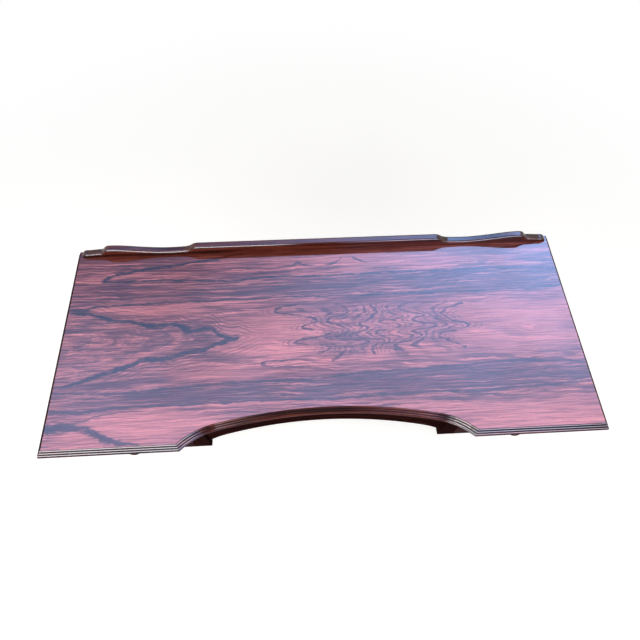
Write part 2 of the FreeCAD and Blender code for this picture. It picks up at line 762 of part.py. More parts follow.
def column_points():
    """Turned column with a tenon at each end, as (radius, height)."""
    radius = S["column_diameter"] * 0.5

    def at(r, f):
        return (radius * r, TENON_L + COLUMN_LENGTH * f)

    return [
        (ZERO, ZERO),
        (TENON_R, ZERO),
        (TENON_R, TENON_L),
        at(1.0, 0.0),
        at(1.0, 0.05),
        at(0.8, 0.085) + at(0.94, 0.071),
        at(0.6, 0.14) + at(0.64, 0.105),
        at(0.78, 0.14),
        at(0.78, 0.17) + at(0.87, 0.155),
        at(0.58, 0.17),
        at(0.68, 0.58) + at(0.96, 0.36),
        at(0.48, 0.8) + at(0.54, 0.69),
        at(0.72, 0.8),
        at(0.72, 0.83) + at(0.81, 0.815),
        at(0.55, 0.83),
        at(0.9, 0.93) + at(0.63, 0.89),
        at(1.0, 0.93),
        at(1.0, 1.0),
        (TENON_R, TENON_L + COLUMN_LENGTH),
        (TENON_R, TENON_L * 2.0 + COLUMN_LENGTH),
        (ZERO, TENON_L * 2.0 + COLUMN_LENGTH),
    ]


for side, word in ((-1, "left"), (1, "right")):
    middle = TRESTLE if side > 0 else -TRESTLE
    hole_depth = TENON_L + 1
    socket_r = TENON_R + S["fit_gap"]
    foot = pad_body("foot_" + word, YZ, foot_points(), S["foot_width"])
    move_body(foot, middle - S["foot_width"] * 0.5, FOOT_FRONT, S["foot_pad"])
    foot_holes = [rod("foot_socket_%s_%s" % (place, word), socket_r, hole_depth + 5, middle, y,
                      S["foot_height"] - hole_depth)
                  for place, y in (("front", FRONT_COL), ("back", BACK_COL))]
    keep("foot_" + word, cut("foot_" + word, foot, foot_holes))
    pad_half = S["foot_width"] * 0.5 - S["pad_inset"]
    pads = []
    for place, start in (("front", FOOT_FRONT + S["pad_inset"]),
                         ("back", FOOT_FRONT + FOOT_LENGTH * 0.78 - S["pad_inset"])):
        pads.append(block("foot_pad_%s_%s" % (place, word), (middle - pad_half, middle + pad_half),
                          (start, start + FOOT_LENGTH * 0.22), (ZERO, S["foot_pad"])))
    keep("foot_pads_" + word, group("foot_pads_" + word, pads))
    yoke = pad_body("yoke_" + word, YZ, yoke_points(), S["yoke_width"])
    move_body(yoke, middle - S["yoke_width"] * 0.5, YOKE_FRONT, YOKE_BOTTOM)
    yoke_holes = [rod("yoke_socket_%s_%s" % (place, word), socket_r, hole_depth + 5, middle, y,
                      YOKE_BOTTOM - 5)
                  for place, y in (("front", FRONT_COL), ("back", BACK_COL))]
    keep("yoke_" + word, cut("yoke_" + word, yoke, yoke_holes))
    for place, y in (("front", FRONT_COL), ("back", BACK_COL)):
        name = "column_%s_%s" % (place, word)
        column = turned_body(name, XZ, "V_Axis", column_points())
        move_body(column, middle, y, S["foot_height"] - TENON_L)
        keep(name, column)

# Stretcher between the trestle ends, tenoned into a block on each foot.
BLOCK_IN = TRESTLE - S["block_width"] * 0.5
BLOCK_LOW = S["foot_height"]
STRETCHER_Z = BLOCK_LOW + S["block_height"] * 0.62
STRETCHER_LENGTH = BLOCK_IN * 2.0
ACROSS = FreeCAD.Rotation(FreeCAD.Vector(0, 1, 0), 90)


def stretcher_points():
    """Turned pole with a tenon at each end, as (distance along the axis, radius)."""
    radius = S["stretcher_diameter"] * 0.5

    def at(f, r):
        return (TENON_L + STRETCHER_LENGTH * f, radius * r)

    end = TENON_L * 2.0 + STRETCHER_LENGTH
    half = [
        at(0.0, 0.82),
        at(0.015, 0.82),
        at(0.045, 0.62) + at(0.025, 0.66),
        at(0.045, 0.78),
        at(0.06, 0.78) + at(0.0525, 0.9),
        at(0.06, 0.6),
        at(0.44, 0.72) + at(0.25, 0.92),
        at(0.44, 0.86),
        at(0.46, 0.86) + at(0.45, 0.97),
        at(0.46, 0.7),
    ]
    far_half = [
        at(0.54, 0.7) + at(0.5, 1.0),
        at(0.54, 0.86),
        at(0.56, 0.86) + at(0.55, 0.97),
        at(0.56, 0.72),
        at(0.94, 0.6) + at(0.75, 0.92),
        at(0.94, 0.78),
        at(0.955, 0.78) + at(0.9475, 0.9),
        at(0.955, 0.62),
        at(0.985, 0.82) + at(0.975, 0.66),
        at(1.0, 0.82),
    ]
    start = [(ZERO, ZERO), (ZERO, TENON_R), (TENON_L, TENON_R)]
    finish = [(TENON_L + STRETCHER_LENGTH, TENON_R), (end, TENON_R), (end, ZERO)]
    return start + half + far_half + finish


def block_points():
    """Stretcher block seen from its end: straight sides under a rounded head."""
    wide, tall = S["block_width"], S["block_height"]
    return [
        (ZERO, ZERO),
        (wide, ZERO),
        (wide, tall * 0.68),
        (ZERO, tall * 0.68, wide * 0.5, tall),
    ]


for side, word in ((-1, "left"), (1, "right")):
    blank = pad_body("stretcher_block_" + word, YZ, block_points(), S["block_width"])
    inner_face = side_pair(side, BLOCK_IN, BLOCK_IN + S["block_width"])
    move_body(blank, inner_face[0], BLOCK_Y - S["block_width"] * 0.5, BLOCK_LOW)
    start = BLOCK_IN - 5 if side > 0 else -(BLOCK_IN + TENON_L + 1)
    socket = rod("stretcher_socket_" + word, TENON_R + S["fit_gap"], TENON_L + 6, start, BLOCK_Y, STRETCHER_Z,
                 ACROSS)
    keep("stretcher_block_" + word, cut("stretcher_block_" + word, blank, [socket]))

stretcher = turned_body("stretcher", XY, "H_Axis", stretcher_points())
move_body(stretcher, -(BLOCK_IN + TENON_L), BLOCK_Y, STRETCHER_Z)
keep("stretcher", stretcher)

doc.recompute()

for obj in doc.Objects:
    if any(word in obj.State for word in ("Invalid", "Error")):
        raise RuntimeError("%s did not recompute: %s" % (obj.Name, obj.State))
for name, obj in NODES.items():
    shape = obj.Shape
    if shape.isNull() or not shape.isValid() or not shape.Solids:
        raise RuntimeError("%s has no valid solid" % name)
    shape.exportStep("parts/%s.step" % name)
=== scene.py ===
import math

import bpy
from bpy.props import FloatProperty, FloatVectorProperty, PointerProperty
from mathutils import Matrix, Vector


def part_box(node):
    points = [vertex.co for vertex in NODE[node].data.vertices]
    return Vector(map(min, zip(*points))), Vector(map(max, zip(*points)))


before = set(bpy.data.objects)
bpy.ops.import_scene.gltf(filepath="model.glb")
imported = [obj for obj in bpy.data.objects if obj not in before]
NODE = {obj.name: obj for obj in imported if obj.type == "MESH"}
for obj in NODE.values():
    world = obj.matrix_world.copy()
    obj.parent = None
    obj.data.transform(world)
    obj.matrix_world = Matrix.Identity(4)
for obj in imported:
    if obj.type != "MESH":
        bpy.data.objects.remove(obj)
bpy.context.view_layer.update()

bl_info = {
    "name": "Kneehole desk finish",
    "version": (1, 0, 0),
    "blender": (4, 5, 0),
    "location": "View3D > Sidebar > Desk",
    "description": "Finishes a rosewood kneehole writing desk: veneer, mouldings, case, drawers and base",
    "category": "Object",
}

SIDES = ("left", "right")
MM = 0.001

# Dark lines of the veneer's figure: points as (x, y, half width) in millimetres on the surface,
# and the share of full darkness that the line reaches.
FIGURE_LINES = {
    "arrow_upper": (((-600, 77.5, 3), (-535, 69.5, 4), (-500, 57, 5), (-450, 48.5, 4.5), (-415, 39, 7),
                     (-385, 36, 7.5), (-345, 36.5, 5), (-320, 23.5, 8), (-298, 19.5, 6), (-275, 24, 5),
                     (-255, 19, 7), (-242, 6, 6), (-222, -3, 8), (-195, -3.5, 3)), 1.0),
    "arrow_lower": (((-600, -107.5, 2), (-560, -101, 4), (-525, -90, 6), (-485, -77.5, 6.5), (-445, -65, 7),
                     (-410, -51, 6), (-380, -50, 8), (-345, -46, 8), (-320, -38, 6), (-275, -31, 6),
                     (-255, -22, 6.5), (-230, -14, 8), (-195, -3.5, 4)), 1.0),
    "arm_echo": (((-490, -95, 1.2), (-435, -72, 1.5), (-375, -66, 1.2), (-320, -50, 1.4), (-262, -40, 1),
                  (-215, -26, 1)), 0.7),
    "hook_upper": (((-532, 165, 6), (-518, 176, 5), (-485, 185, 4.5), (-450, 191, 4.5), (-400, 200, 4),
                    (-350, 206, 3.5), (-310, 212.5, 3.5), (-250, 220, 4), (-220, 227.5, 3),
                    (-175, 232.5, 2)), 0.95),
    "back_line": (((-532, 165, 6), (-500, 160, 3), (-450, 160, 3), (-400, 161.5, 3), (-350, 160, 3),
                   (-300, 157.5, 2.5), (-250, 153.5, 3), (-200, 152.5, 3), (-175, 156.5, 2), (-130, 160, 2),
                   (20, 157, 2), (180, 162, 2.5), (300, 160, 2.5), (450, 160, 2), (600, 157, 2)), 0.9),
    "upper_line": (((-600, 85, 4), (-565, 85, 4), (-540, 92.5, 4), (-500, 95, 3), (-450, 96.5, 3),
                    (-400, 97.5, 3), (-350, 97.5, 2.5), (-300, 96, 2), (-250, 99, 2.5), (-220, 101, 3),
                    (-180, 97.5, 2), (-100, 100, 2), (20, 98, 2), (200, 98, 2.5), (330, 97, 2),
                    (500, 100, 2), (600, 104, 2)), 0.9),
    "lower_line": (((-600, -120, 4), (-550, -122.5, 3), (-500, -126, 3), (-450, -126, 3), (-400, -123.5, 3),
                    (-350, -121, 2.5), (-290, -119, 2), (-240, -115, 2), (-190, -114, 2.5),
                    (0, -112.5, 2.5), (80, -103, 2.5), (180, -101, 2.5), (280, -97.5, 3), (355, -93, 3),
                    (430, -90, 3), (530, -95, 3), (600, -97.5, 2.5)), 0.85),
    "front_line": (((-600, -162.5, 4), (-550, -166.5, 5), (-500, -164, 4), (-450, -159, 3.5),
                    (-400, -156.5, 3), (-350, -159, 3), (-250, -159, 2.5), (-150, -157.5, 2),
                    (0, -160, 2.5), (180, -157.5, 3), (280, -156, 3), (330, -160, 3), (400, -155, 3),
                    (480, -152.5, 3), (600, -145, 2.5)), 0.85),
    "corner_hook": (((-600, -200, 13), (-560, -198, 11.5), (-525, -201, 8), (-500, -210, 9),
                     (-480, -222, 11), (-465, -229, 8), (-435, -236, 5), (-400, -239, 3)), 0.92),
    "corner_echo": (((-545, -186, 1), (-515, -184, 2.5), (-500, -177, 2), (-470, -172, 1.5),
                     (-400, -168, 1)), 0.7),
    "fleck_left": (((-85, 193, 1), (-65, 193, 3), (-50, 198, 4), (-35, 190, 3), (-10, 188, 1)), 0.75),
    "fleck_middle": (((18, 190, 2), (38, 192, 4), (48, 198, 3), (58, 208, 2)), 0.8),
    "fleck_right": (((86, 212, 2), (97, 204, 4), (112, 196, 3), (125, 194, 1)), 0.8),
}
# Zigzag lines of the flame, each as points of (y, x) in millimetres.
FLAME_FRONTS = (
    ((-82, -47), (-72, -140), (-63, -75), (-37, 12), (-23, -64), (0, 20), (17, -47), (32, -13), (45, -40),
     (64, -112), (77, -61)),
    ((-71, 16), (-57, 43), (-40, 52), (-28, 106), (-14, 34), (3, 61), (17, 41), (30, 10), (40, 28),
     (52, 63), (76, 36)),
    ((-58, 117), (-43, 115), (-25, 141), (-14, 66), (8, 108), (19, 86), (29, 111), (55, 129), (69, 120)),
    ((-38, 142), (-24, 158), (-5, 125), (11, 186), (24, 140), (33, 195), (47, 157), (70, 169)),
    ((-54, 185), (-42, 165), (-19, 232), (-7, 216), (8, 272), (24, 217), (36, 242), (55, 188), (73, 230)),
    ((-52, 335), (-34, 297), (-17, 274), (4, 351), (21, 309), (40, 292), (66, 345)))
# Pale blooms of the veneer, as (x, y, reach in x, reach in y) in millimetres, and their strength.
PALE_BLOOMS = (((-110, 5, 210, 95), 0.65), ((-400, -205, 250, 58), 0.85), ((460, 5, 330, 112), 0.6),
               ((470, -222, 300, 62), 0.62), ((-230, -92, 220, 24), 0.55), ((-380, 80, 200, 20), 0.4),
               ((130, 200, 420, 34), 0.5), ((-560, -60, 120, 50), 0.4), ((170, 5, 230, 88), 0.5))
# Lowest value and reach of the curves drawn through those points, in millimetres.
FIGURE_REACH = (-250, 500)
WIDTH_REACH = (0, 14)
FLAME_REACH = (-150, 510)
# How far a drawn line fades past its end points, and half the thickness of a flame line across Y.
RUN_OUT = 0.008
FLAME_HALF = 0.0016
# Tip of the arrow and middle of the nested arches, along X.
ARROW_TIP = -0.195
ARCH_MIDDLE = -0.2

# Place of the camera in metres and its turns in degrees, solved from the corners of the surface.
CAMERA_PLACE = (-0.043787, -0.483788, 1.766852)
CAMERA_TURNS = (27.03169, -0.7034, -3.01909)
SENSOR_WIDTH = 36.0


class DeskFinish(bpy.types.PropertyGroup):
    """Colours and softening of the desk's surfaces."""

    veneer_rose: FloatVectorProperty(
        name="Veneer rose", description="Light figure of the top veneer", subtype="COLOR", size=3,
        default=(0.60, 0.19, 0.185), min=0.0, max=1.0)
    veneer_brown: FloatVectorProperty(
        name="Veneer brown", description="Middle tone of the top veneer", subtype="COLOR", size=3,
        default=(0.185, 0.046, 0.046), min=0.0, max=1.0)
    veneer_streak: FloatVectorProperty(
        name="Veneer streak", description="Dark streaks of the top veneer", subtype="COLOR", size=3,
        default=(0.012, 0.010, 0.014), min=0.0, max=1.0)
    veneer_haze: FloatVectorProperty(
        name="Veneer haze", description="Cool bands beside the streaks", subtype="COLOR", size=3,
        default=(0.054, 0.03, 0.042), min=0.0, max=1.0)
    rosewood_dark: FloatVectorProperty(
        name="Rosewood dark", description="Dark grain of the solid rosewood", subtype="COLOR", size=3,
        default=(0.016, 0.0050, 0.005), min=0.0, max=1.0)
    rosewood_mid: FloatVectorProperty(
        name="Rosewood middle", description="Body tone of the solid rosewood", subtype="COLOR", size=3,
        default=(0.085, 0.021, 0.016), min=0.0, max=1.0)
    rail_brown: FloatVectorProperty(
        name="Rail brown", description="Body tone of the polished rail and mouldings", subtype="COLOR", size=3,
        default=(0.15, 0.031, 0.017), min=0.0, max=1.0)
    rosewood_light: FloatVectorProperty(
        name="Rosewood light", description="Light grain and worn edges", subtype="COLOR", size=3,
        default=(0.20, 0.062, 0.045), min=0.0, max=1.0)
    oak: FloatVectorProperty(
        name="Oak", description="Drawer linings", subtype="COLOR", size=3,
        default=(0.42, 0.25, 0.12), min=0.0, max=1.0)
    pine: FloatVectorProperty(
        name="Pine", description="Carcass boards behind the show wood", subtype="COLOR", size=3,
        default=(0.47, 0.29, 0.145), min=0.0, max=1.0)
    steel: FloatVectorProperty(
        name="Steel", description="Screws under the top", subtype="COLOR", size=3,
        default=(0.33, 0.31, 0.29), min=0.0, max=1.0)
    arris: FloatProperty(
        name="Edge softening", description="Width of the rubbed arrises", subtype="DISTANCE", unit="LENGTH",
        default=0.0012, min=0.0, max=0.004)


class DeskStage(bpy.types.PropertyGroup):
    """Floor, light and camera around the desk."""

    floor_colour: FloatVectorProperty(
        name="Floor", description="Colour of the studio floor", subtype="COLOR", size=3,
        default=(0.87, 0.87, 0.86), min=0.0, max=1.0)
    ambient: FloatProperty(
        name="Ambient", description="Strength of the even light from all round",
        default=0.22, min=0.0, max=2.0)
    sky: FloatProperty(
        name="Sky", description="Strength of the sky and windows that the polish mirrors",
        default=1.0, min=0.0)
    front: FloatProperty(
        name="Front panel", description="Power of the white panel before the desk", subtype="POWER",
        default=70.0, min=0.0)
    key: FloatProperty(
        name="Key panel", description="Power of the white panel over the sitter", subtype="POWER",
        default=72.0, min=0.0)
    lens: FloatProperty(
        name="Lens", description="Focal length of the camera", subtype="DISTANCE_CAMERA",
        default=27.0, min=10.0, max=200.0)


class Nodes:
    """Short calls for laying out one node tree."""

    def __init__(self, tree):
        self.tree = tree

    def put(self, socket, value):
        if isinstance(value, bpy.types.NodeSocket):
            self.tree.links.new(value, socket)
        elif value is not None:
            if socket.type == "RGBA" and len(value) == 3:
                value = (*value, 1.0)
            socket.default_value = value

    def add(self, kind, **settings):
        node = self.tree.nodes.new(kind)
        for key, value in settings.items():
            setattr(node, key, value)
        return node

    def math(self, operation, a, b=None, c=None, clamp=False):
        node = self.add("ShaderNodeMath", operation=operation, use_clamp=clamp)
        for socket, value in zip(node.inputs, (a, b, c)):
            self.put(socket, value)
        return node.outputs[0]

    def times(self, first, *others):
        for other in others:
            first = self.math("MULTIPLY", first, other)
        return first

    def less(self, a, b):
        return self.math("SUBTRACT", a, b)

    def vector(self, operation, a, b=None):
        node = self.add("ShaderNodeVectorMath", operation=operation)
        for socket, value in zip(node.inputs, (a, b)):
            self.put(socket, value)
        return node.outputs[0]

    def mix(self, factor, a, b, blend="MIX"):
        node = self.add("ShaderNodeMix", data_type="RGBA", blend_type=blend)
        self.put(node.inputs["Factor"], factor)
        self.put(node.inputs[6], a)
        self.put(node.inputs[7], b)
        return node.outputs[2]

    def tint(self, colour, toward, *masks):
        return self.mix(self.times(*masks), colour, toward)

    def combine(self, x, y, z=0.0):
        node = self.add("ShaderNodeCombineXYZ")
        for socket, value in zip(node.inputs, (x, y, z)):
            self.put(socket, value)
        return node.outputs[0]

    def scaled(self, parts, sizes):
        return self.combine(*[self.times(part, size) for part, size in zip(parts, sizes)])

    def separate(self, vector):
        node = self.add("ShaderNodeSeparateXYZ")
        self.put(node.inputs[0], vector)
        return node.outputs[0], node.outputs[1], node.outputs[2]

    def noise(self, vector, scale=1.0, detail=4.0, roughness=0.55, distortion=0.0):
        node = self.add("ShaderNodeTexNoise")
        self.put(node.inputs["Vector"], vector)
        for key, value in (("Scale", scale), ("Detail", detail), ("Roughness", roughness),
                           ("Distortion", distortion)):
            self.put(node.inputs[key], value)
        return node.outputs["Fac"]

    def span(self, value, low, high, out_low=0.0, out_high=1.0, smooth=True):
        node = self.add("ShaderNodeMapRange", interpolation_type="SMOOTHSTEP" if smooth else "LINEAR")
        for key, entry in (("Value", value), ("From Min", low), ("From Max", high),
                           ("To Min", out_low), ("To Max", out_high)):
            self.put(node.inputs[key], entry)
        return node.outputs[0]

    def group(self, tree, **inputs):
        node = self.add("ShaderNodeGroup", node_tree=tree)
        for key, value in inputs.items():
            self.put(node.inputs[key.replace("_", " ").capitalize()], value)
        return node

    def blend(self, factor, first, second):
        node = self.add("ShaderNodeMixShader")
        for socket, value in zip(node.inputs, (factor, first, second)):
            self.put(socket, value)
        return node.outputs[0]

    def length(self, vector):
        node = self.add("ShaderNodeVectorMath", operation="LENGTH")
        self.put(node.inputs[0], vector)
        return node.outputs["Value"]

    def lead_out(self, shader):
        output = next(node for node in self.tree.nodes if node.type == "OUTPUT_MATERIAL")
        self.put(output.inputs["Surface"], shader)


def new_group(name, inputs, outputs):
    """An empty shader group with named sockets; inputs are (name, socket kind, default)."""
    tree = bpy.data.node_groups.new(name, "ShaderNodeTree")
    for label, kind, default in inputs:
        socket = tree.interface.new_socket(label, in_out="INPUT", socket_type=kind)
        if default is not None:
            socket.default_value = default
    for label, kind in outputs:
        tree.interface.new_socket(label, in_out="OUTPUT", socket_type=kind)
    n = Nodes(tree)
    return tree, n, n.add("NodeGroupInput"), n.add("NodeGroupOutput")


VALUE, VECTOR = "NodeSocketFloat", "NodeSocketVector"


def grain_group():
    """Straight grain running along X of the position it is given."""
    tree, n, given, out = new_group(
        "Straight grain",
        [("Position", VECTOR, None), ("Band size", VALUE, 14.0), ("Fibre size", VALUE, 420.0)],
        [("Band", VALUE), ("Fibre", VALUE), ("Pore", VALUE)])
    position = given.outputs["Position"]
    x, y, z = n.separate(position)
    sway = n.less(n.noise(n.vector("MULTIPLY", position, (2.2, 9.0, 9.0)), detail=2.0), 0.5)
    across = n.math("MULTIPLY_ADD", sway, 0.03, y)
    depth = n.math("MULTIPLY_ADD", sway, 0.022, z)
    place = (x, across, depth)
    wide = given.outputs["Band size"]
    fine = given.outputs["Fibre size"]
    band = n.noise(n.scaled(place, (0.5, wide, wide)), scale=3.0, detail=5.0, roughness=0.6)
    fibre = n.noise(n.scaled(place, (9.0, fine, fine)), detail=4.0, roughness=0.65)
    pore = n.noise(n.scaled(place, (70.0, 1500.0, 1500.0)), detail=1.0)
    n.put(out.inputs["Band"], n.span(band, 0.33, 0.67))
    n.put(out.inputs["Fibre"], n.span(fibre, 0.3, 0.7))
    n.put(out.inputs["Pore"], n.span(pore, 0.62, 0.72))
    return tree


def wear_group():
    """Rubbed edges: where the rounded normal leaves the face's own normal."""
    tree, n, given, out = new_group(
        "Edge wear",
        [("Position", VECTOR, None), ("Radius", VALUE, 0.0025), ("Amount", VALUE, 1.0)],
        [("Mask", VALUE)])
    bevel = n.add("ShaderNodeBevel", samples=4)
    n.put(bevel.inputs["Radius"], given.outputs["Radius"])
    flat = n.add("ShaderNodeNewGeometry").outputs["Normal"]
    turn = n.add("ShaderNodeVectorMath", operation="DOT_PRODUCT")
    n.put(turn.inputs[0], bevel.outputs["Normal"])
    n.put(turn.inputs[1], flat)
    edge = n.span(turn.outputs["Value"], 0.97, 0.75)
    patch = n.span(n.noise(given.outputs["Position"], scale=26.0, detail=4.0), 0.38, 0.66)
    worn = n.math("MULTIPLY", n.times(edge, patch), given.outputs["Amount"], clamp=True)
    n.put(out.inputs["Mask"], worn)
    return tree


def groove_shade_group():
    """Painted shade: darkening from ambient occlusion in grooves and inner corners."""
    tree, n, given, out = new_group(
        "Groove shade", [("Reach", VALUE, 0.005), ("Amount", VALUE, 1.0)], [("Mask", VALUE)])
    hollow = n.add("ShaderNodeAmbientOcclusion", samples=8, only_local=True)
    n.put(hollow.inputs["Distance"], given.outputs["Reach"])
    n.put(out.inputs["Mask"], n.times(n.span(hollow.outputs["AO"], 0.95, 0.5), given.outputs["Amount"]))
    return tree


def handling_group():
    """Cloudy rubbing and faint scuffs that vary the gloss of a polished surface."""
    tree, n, given, out = new_group(
        "Handled polish", [("Position", VECTOR, None), ("Scuff", VALUE, 0.4)], [("Dull", VALUE)])
    position = given.outputs["Position"]
    rubbed = n.span(n.noise(position, scale=7.0, detail=5.0), 0.35, 0.7)
    scratch = n.noise(n.vector("MULTIPLY", position, (60.0, 420.0, 300.0)), detail=2.0, distortion=1.5)
    scuff = n.times(n.span(scratch, 0.6, 0.72), given.outputs["Scuff"])
    n.put(out.inputs["Dull"], n.math("ADD", n.times(rubbed, 0.6), scuff, clamp=True))
    return tree


def streak_group():
    """One dark line of the figure, where the position's Y meets the line's height."""
    tree, n, given, out = new_group(
        "Figure line",
        [("Position", VECTOR, None), ("Height", VALUE, 0.0), ("Width", VALUE, 0.004),
         ("Start", VALUE, -1.0), ("End", VALUE, 1.0)],
        [("Mask", VALUE)])
    fade = 0.012
    start, end = given.outputs["Start"], given.outputs["End"]
    x, y, _ = n.separate(given.outputs["Position"])
    gap = n.math("ABSOLUTE", n.less(y, given.outputs["Height"]))
    ragged = n.noise(n.scaled((x, y), (26.0, 130.0)), detail=5.0, roughness=0.65)
    width = n.times(given.outputs["Width"], n.span(ragged, 0.3, 0.7, 0.45, 1.65))
    body = n.span(n.math("DIVIDE", gap, width), 1.35, 0.5)
    feather = n.noise(n.scaled((x, y), (30.0, 420.0)), detail=3.0)
    starts = n.span(x, start, n.math("ADD", start, fade))
    ends = n.span(x, end, n.less(end, fade))
    n.put(out.inputs["Mask"], n.times(body, n.span(feather, 0.3, 0.5, 0.6, 1.0), starts, ends))
    return tree


GROUPS = {}


def shared(maker):
    """The group that a maker lays out, laid out once."""
    if maker not in GROUPS:
        GROUPS[maker] = maker()
    return GROUPS[maker]


def new_material(name):
    material = bpy.data.materials.new(name)
    material.use_nodes = True
    tree = material.node_tree
    tree.nodes.clear()
    n = Nodes(tree)
    shader = n.add("ShaderNodeBsdfPrincipled")
    output = n.add("ShaderNodeOutputMaterial")
    tree.links.new(shader.outputs[0], output.inputs[0])
    return material, n, shader


def bump(n, shader, height, strength, distance):
    node = n.add("ShaderNodeBump")
    node.inputs["Strength"].default_value = strength
    node.inputs["Distance"].default_value = distance
    n.put(node.inputs["Height"], height)
    n.put(shader.inputs["Normal"], node.outputs[0])


# Order of the coordinates that lays the grain along each axis.
GRAIN_ORDER = {"X": (0, 1, 2), "Y": (1, 0, 2), "Z": (2, 0, 1)}


def piece_position(n, axis):
    """Surface position with the grain along X, shifted by a share of its own for every piece."""
    spot = n.separate(n.add("ShaderNodeTexCoord").outputs["Object"])
    place = n.combine(*[spot[i] for i in GRAIN_ORDER[axis]])
    own = n.add("ShaderNodeObjectInfo").outputs["Random"]
    return n.vector("ADD", place, n.scaled((own, own, own), (3.7, 11.3, 5.9))), own


MATERIALS = {}


# Finish of the solid rosewood: (share of the body tone, most and least coat, coat IOR, strength of the painted
# groove shade).
POLISH = {
    "bright": (0.9, 1.0, 0.85, 1.6, 0.95),
    "rail": (1.0, 1.0, 0.85, 1.5, 0.4),
    "soft": (0.9, 0.25, 0.08, 1.45, 0.6),
    # The low body share of the dull finish is painted shade.
    "dull": (0.32, 0.03, 0.0, 1.4, 0.6),
}


def shaded(n, colour, own, spread):
    """Colour made a little lighter or darker by the share that each piece has of its own."""
    shade = n.math("MULTIPLY_ADD", own, spread, 0.86)
    return n.mix(1.0, colour, n.combine(shade, shade, shade), blend="MULTIPLY")


def rosewood(axis, polish="soft"):
    """Solid rosewood under polish, with worn edges and painted shade in the grooves."""
    name = "rosewood_%s_along_%s" % (polish, axis.lower())
    if name in MATERIALS:
        return MATERIALS[name]
    tone, most, least, ior, groove_shade_share = POLISH[polish]
    polished = least > 0.5
    finish = bpy.context.scene.desk_finish
    dark = finish.rosewood_dark
    body = Vector(finish.rail_brown if polished else finish.rosewood_mid) * tone
    light = Vector(finish.rosewood_light) * tone
    material, n, shader = new_material(name)
    position, own = piece_position(n, axis)
    grain = n.group(shared(grain_group), position=position, band_size=20.0).outputs
    wear = n.group(shared(wear_group), position=position, amount=0.15 if polished else 0.7).outputs["Mask"]
    groove_shade = n.group(shared(groove_shade_group), reach=0.003, amount=groove_shade_share).outputs["Mask"]
    dull = n.group(shared(handling_group), position=position, scuff=0.35).outputs["Dull"]

    colour = n.mix(grain["Band"], dark, body)
    colour = n.tint(colour, light, n.span(grain["Band"], 0.55, 1.0), grain["Fibre"], 0.5)
    colour = n.mix(n.span(grain["Fibre"], 0.5, 0.12, 0.0, 0.6), colour, dark)
    colour = n.tint(colour, dark, grain["Pore"], 0.55)
    colour = n.mix(wear, colour, light)
    # Painted shade: grooves and inner corners darkened by ambient occlusion.
    colour = n.mix(groove_shade, colour, Vector(dark) * 0.5)
    n.put(shader.inputs["Base Color"], shaded(n, colour, own, 0.3))

    rough = n.math("ADD", dull, n.times(wear, 0.5))
    n.put(shader.inputs["Roughness"], n.span(rough, 0.0, 1.0, 0.24, 0.46, smooth=False))
    coat = n.span(dull, 0.0, 1.0, most, least, smooth=False)
    if polish == "rail":
        upward = n.separate(n.add("ShaderNodeNewGeometry").outputs["Normal"])[2]
        coat = n.times(coat, n.span(upward, 0.2, 0.6, 0.3, 1.0))
    # The painted groove shade also thins the coat in the grooves.
    n.put(shader.inputs["Coat Weight"], n.times(coat, n.span(groove_shade, 0.0, 0.8, 1.0, 0.1)))
    shader.inputs["Coat Roughness"].default_value = 0.05
    shader.inputs["Coat IOR"].default_value = ior
    shader.inputs["Specular IOR Level"].default_value = 0.0
    bump(n, shader, n.less(n.times(grain["Fibre"], 0.3), grain["Pore"]), 0.12, 0.0004)
    MATERIALS[name] = material
    return material


def lining_wood(kind, axis, fleck=False, stained=False):
    """Bare oak or pine, darkened by age; upright edges can be stained to match the show wood."""
    name = "%s%s_along_%s" % ("stained_" if stained else "", kind, axis.lower())
    if name in MATERIALS:
        return MATERIALS[name]
    finish = bpy.context.scene.desk_finish
    tone = Vector(getattr(finish, kind))
    material, n, shader = new_material(name)
    position, own = piece_position(n, axis)
    grain = n.group(shared(grain_group), position=position, band_size=9.0, fibre_size=260.0).outputs
    colour = n.mix(grain["Band"], tone * 0.62, tone)
    colour = n.tint(colour, tone * 1.2, grain["Fibre"], 0.35)
    colour = n.tint(colour, tone * 0.35, grain["Pore"], 0.5)
    if fleck:
        ray = n.noise(n.scaled(n.separate(position), (28.0, 190.0, 190.0)), detail=2.0, distortion=0.6)
        colour = n.tint(colour, tone * 1.35, n.span(ray, 0.64, 0.7), 0.4)
    grime = n.span(n.noise(position, scale=5.0, detail=6.0, roughness=0.7), 0.5, 0.78)
    colour = n.tint(colour, tone * 0.45, grime, 0.5)
    wear = n.group(shared(wear_group), position=position, amount=0.5)
    colour = n.mix(wear.outputs["Mask"], colour, tone * 0.55)
    if stained:
        facing = n.math("ABSOLUTE", n.separate(n.add("ShaderNodeNewGeometry").outputs["Normal"])[2])
        stain = n.mix(grain["Band"], finish.rosewood_dark, finish.rosewood_mid)
        colour = n.mix(n.span(facing, 0.7, 0.4), colour, stain)
    n.put(shader.inputs["Base Color"], shaded(n, colour, own, 0.24))
    n.put(shader.inputs["Roughness"], n.span(grain["Fibre"], 0.0, 1.0, 0.5, 0.68, smooth=False))
    bump(n, shader, n.less(grain["Fibre"], grain["Pore"]), 0.2, 0.0005)
    MATERIALS[name] = material
    return material


def screw_steel():
    """Hand-cut screws with a brown skin of old oxide."""
    finish = bpy.context.scene.desk_finish
    material, n, shader = new_material("screw_steel")
    position, _ = piece_position(n, "Z")
    rust = n.span(n.noise(position, scale=420.0, detail=6.0, roughness=0.7), 0.42, 0.66)
    n.put(shader.inputs["Base Color"], n.mix(rust, finish.steel, (0.11, 0.05, 0.025)))
    n.put(shader.inputs["Metallic"], n.span(rust, 0.0, 1.0, 1.0, 0.2, smooth=False))
    n.put(shader.inputs["Roughness"], n.span(rust, 0.0, 1.0, 0.32, 0.8, smooth=False))
    bump(n, shader, rust, 0.3, 0.0003)
    return material


